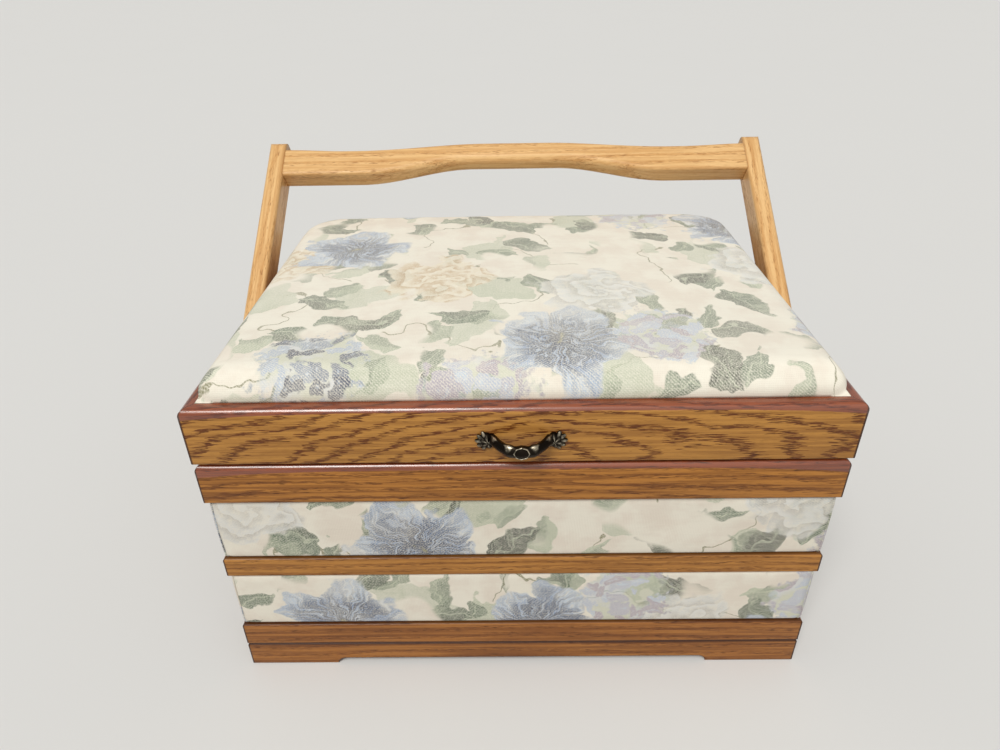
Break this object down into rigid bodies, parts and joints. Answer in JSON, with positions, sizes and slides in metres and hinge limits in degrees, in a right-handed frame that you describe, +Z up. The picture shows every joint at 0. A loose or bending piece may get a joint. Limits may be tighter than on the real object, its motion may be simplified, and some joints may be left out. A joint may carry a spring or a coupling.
{
  "type": "sewing carrier with two lids",
  "caption": "Fabric-covered wooden sewing box with a padded outer lid, a tray-like inner lid under it and a swinging wooden carrying handle.",
  "frame": {"origin": "middle of the whole part's bounding box, on the surface the feet stand on", "axes": "+X to the right along the box's width, +Y to the hinges at the back, +Z up"},
  "size_m": [0.3808, 0.2926, 0.2597],
  "materials": {
    "oak": "stained oak, satin lacquer",
    "dark_oak": "darker stained oak, satin lacquer",
    "mahogany": "red-brown stain, satin gloss",
    "honey_oak": "light honey oak, satin lacquer",
    "plywood": "bare plywood",
    "floral_fabric": "woven furnishing cloth, printed with flowers",
    "floral_pad": "woven furnishing cloth over foam, printed with flowers",
    "lining_fabric": "plain ivory lining cloth",
    "leather_tab": "dark brown leather",
    "brass": "plain yellow brass",
    "bronze": "antique dark bronze with bright worn edges"
  },
  "bodies": {
    "box": {"base_front": "dark_oak", "base_right": "dark_oak", "base_back": "dark_oak", "base_left": "dark_oak", "lower_board_front": "plywood", "lower_board_right": "plywood", "lower_board_back": "plywood", "lower_board_left": "plywood", "strip_front": "oak", "strip_right": "oak", "strip_back": "oak", "strip_left": "oak", "upper_board_front": "plywood", "upper_board_right": "plywood", "upper_board_back": "plywood", "upper_board_left": "plywood", "rim_front": "oak", "rim_right": "oak", "rim_back": "oak", "rim_left": "oak", "rim_trim_front": "mahogany", "rim_trim_right": "mahogany", "rim_trim_back": "mahogany", "rim_trim_left": "mahogany", "lower_fabric": "floral_fabric", "upper_fabric": "floral_fabric", "side_lining": "lining_fabric", "bottom_panel": "plywood", "hinge_leaves_box": "brass", "hinge_pins": "brass", "hinge_screws_box": "brass", "handle_bolts": "brass", "handle_spacers": "dark_oak", "tray_pins": "brass"},
    "outer_lid": {"lid_rail_front": "oak", "lid_rail_right": "oak", "lid_rail_back": "oak", "lid_rail_left": "oak", "lid_trim_front": "mahogany", "lid_trim_right": "mahogany", "lid_trim_back": "mahogany", "lid_trim_left": "mahogany", "lid_board": "plywood", "lid_pad": "floral_pad", "lid_lining": "lining_fabric", "pull": "bronze", "pull_screws": "brass", "hinge_leaves_lid": "brass", "hinge_screws_lid": "brass"},
    "handle": {"handle_arm_left": "honey_oak", "handle_arm_right": "honey_oak", "handle_crossbar": "honey_oak", "handle_dowels": "plywood"},
    "inner_lid": {"tray_front": "oak", "tray_right": "oak", "tray_back": "oak", "tray_left": "oak", "tray_floor": "lining_fabric", "tray_dividers": "oak", "tray_tab": "leather_tab"}
  },
  "joints": [
    {"name": "outer_lid_hinge", "type": "hinge", "parent": "box", "child": "outer_lid", "pos_m": [0, 0.1329, 0.1578], "axis": [-1, 0, 0], "range_deg": [0, 34]},
    {"name": "inner_lid_hinge", "type": "hinge", "parent": "box", "child": "inner_lid", "pos_m": [0, 0.1053, 0.149], "axis": [-1, 0, 0], "range_deg": [0, 28]},
    {"name": "handle_pivot", "type": "hinge", "parent": "box", "child": "handle", "pos_m": [0, -0.0072, 0.146], "axis": [-1, 0, 0], "range_deg": [-174, 57]}
  ],
  "couplings": [
    {"joint": "inner_lid_hinge", "follows": "outer_lid_hinge", "ratio": 0.8}
  ]
}
